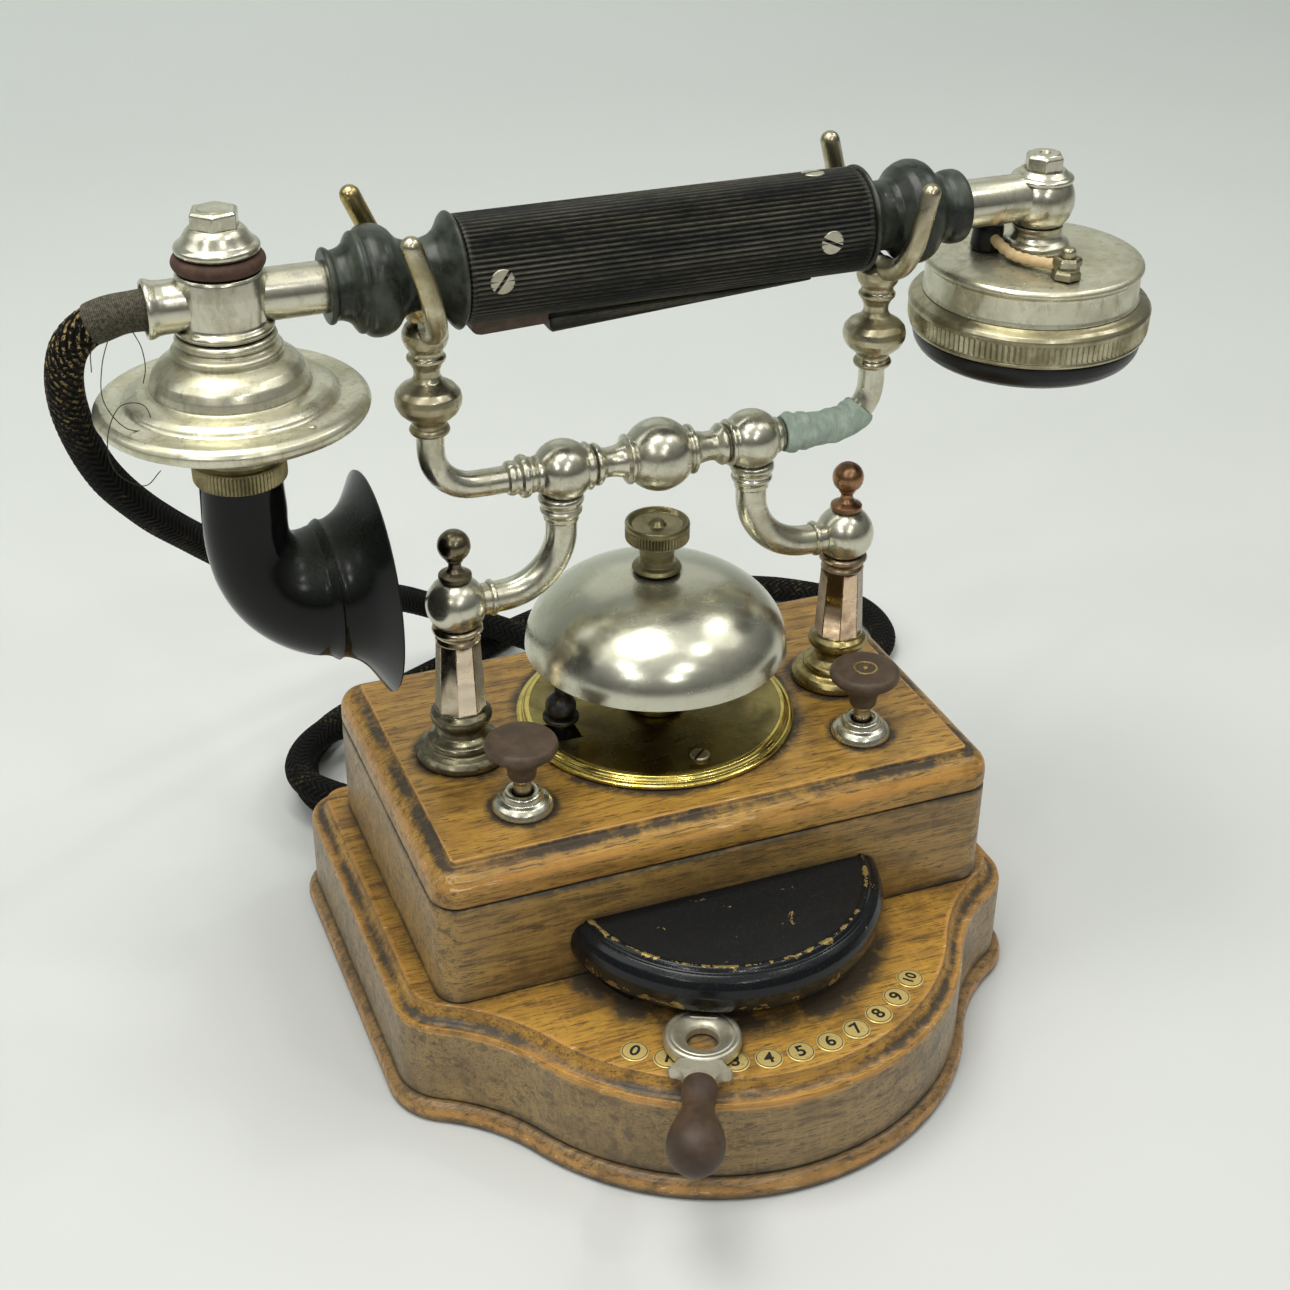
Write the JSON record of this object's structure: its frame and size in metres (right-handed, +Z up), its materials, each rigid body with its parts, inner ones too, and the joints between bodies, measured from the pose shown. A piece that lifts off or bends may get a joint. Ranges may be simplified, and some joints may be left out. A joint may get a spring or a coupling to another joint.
{
  "type": "desk telephone",
  "caption": "Antique desk telephone: oak base with bell, push buttons and selector lever, nickel cradle, handset with elbow mouthpiece and round receiver, braided cord.",
  "frame": {"origin": "centre of the underside of the base, on the table plane below the bell post", "axes": "+X along the handset from the mouthpiece to the receiver, -Y to the front where the selector handle is, +Z up"},
  "size_m": [0.3208, 0.3437, 0.2553],
  "materials": {
    "oak": "waxed, worn at the edges",
    "nickel": "old nickel plate",
    "worn_nickel": "nickel plate worn and tarnished",
    "coppery_nickel": "nickel plate worn to copper",
    "brass": "satin",
    "lacquered_brass": "polished, aged",
    "engraved_brass": "worn, with filled digits",
    "dark_iron": "blackened",
    "japanned_metal": "black japan, chipped",
    "ebonite": "moulded ebonite, greying",
    "black_gloss": "high gloss",
    "brown_fibre": "turned fibre",
    "red_rubber": "aged",
    "green_wrap": "pale repair wrapping",
    "coil_silk": "silk-covered winding",
    "braid": "woven cotton braid"
  },
  "bodies": {
    "base": {"base_board": "oak", "plinth": "oak", "box_case": "oak", "lid": "oak", "number_scale": "engraved_brass", "contact_arc": "brass", "selector_cover": "japanned_metal", "selector_pivot": "brass", "gong_plate": "lacquered_brass", "gong_post": "brass", "gong": "nickel", "gong_nut": "nickel", "magnet_coil_front": "coil_silk", "magnet_coil_rear": "coil_silk", "magnet_yoke": "dark_iron", "induction_coil": "coil_silk", "terminal_strip": "ebonite", "crossbar": "nickel", "arm_wrap": "green_wrap", "handset_cord": "braid", "cord_gland": "ebonite", "button_collar_left": "nickel", "contact_spring_left": "brass", "post_left": "worn_nickel", "finial_left": "worn_nickel", "lower_arm_left": "nickel", "upper_arm_left": "nickel", "fork_left": "nickel", "button_collar_right": "nickel", "contact_spring_right": "brass", "post_right": "coppery_nickel", "finial_right": "coppery_nickel", "lower_arm_right": "nickel", "upper_arm_right": "nickel", "fork_right": "nickel"},
    "handset": {"grip_sleeve": "ebonite", "grip_end_left": "ebonite", "grip_end_right": "ebonite", "transmitter_neck": "nickel", "transmitter_bolt": "nickel", "transmitter_seal": "red_rubber", "transmitter_case": "nickel", "transmitter_diaphragm": "dark_iron", "mouthpiece_ring": "worn_nickel", "receiver_neck": "nickel", "receiver_bolt": "nickel", "receiver_case": "nickel", "receiver_ring": "worn_nickel", "ear_cap": "ebonite", "receiver_terminal": "worn_nickel", "cord_whipping": "braid"},
    "mouthpiece": {"mouthpiece": "black_gloss"},
    "talk_bar": {"talk_bar": "ebonite"},
    "selector": {"selector_lever": "nickel", "selector_handle": "brown_fibre"},
    "striker": {"bell_hammer": "dark_iron"},
    "button_left": {"button_stem_left": "worn_nickel", "button_cap_left": "brown_fibre"},
    "button_right": {"button_stem_right": "worn_nickel", "button_cap_right": "brown_fibre"}
  },
  "joints": [
    {"name": "handset_lift", "type": "slide", "parent": "base", "child": "handset", "axis": [0, 0, 1], "range_m": [0, 0.06], "deforming": ["handset_cord"]},
    {"name": "mouthpiece_swivel", "type": "hinge", "parent": "handset", "child": "mouthpiece", "pos_m": [-0.1176, 0, 0.182], "axis": [0, 0, 1], "range_deg": [-30, 30]},
    {"name": "talk_bar_press", "type": "hinge", "parent": "handset", "child": "talk_bar", "pos_m": [0.043, 0, 0.2175], "axis": [0, 1, 0], "range_deg": [0, 2.2], "stiffness_Nm_per_rad": 1.2, "springref_deg": -1.15},
    {"name": "selector_turn", "type": "hinge", "parent": "base", "child": "selector", "pos_m": [0, -0.046, 0.0404], "axis": [0, 0, 1], "range_deg": [-17, 68]},
    {"name": "striker_swing", "type": "hinge", "parent": "base", "child": "striker", "pos_m": [-0.013, 0.042, 0.056], "axis": [0, 0, 1], "range_deg": [-1.6, 1.6], "stiffness_Nm_per_rad": 0.15},
    {"name": "button_left_press", "type": "slide", "parent": "base", "child": "button_left", "axis": [0, 0, -1], "range_m": [0, 0.004], "stiffness_N_per_m": 250, "springref_m": -0.002},
    {"name": "button_right_press", "type": "slide", "parent": "base", "child": "button_right", "axis": [0, 0, -1], "range_m": [0, 0.004], "stiffness_N_per_m": 250, "springref_m": -0.002}
  ]
}
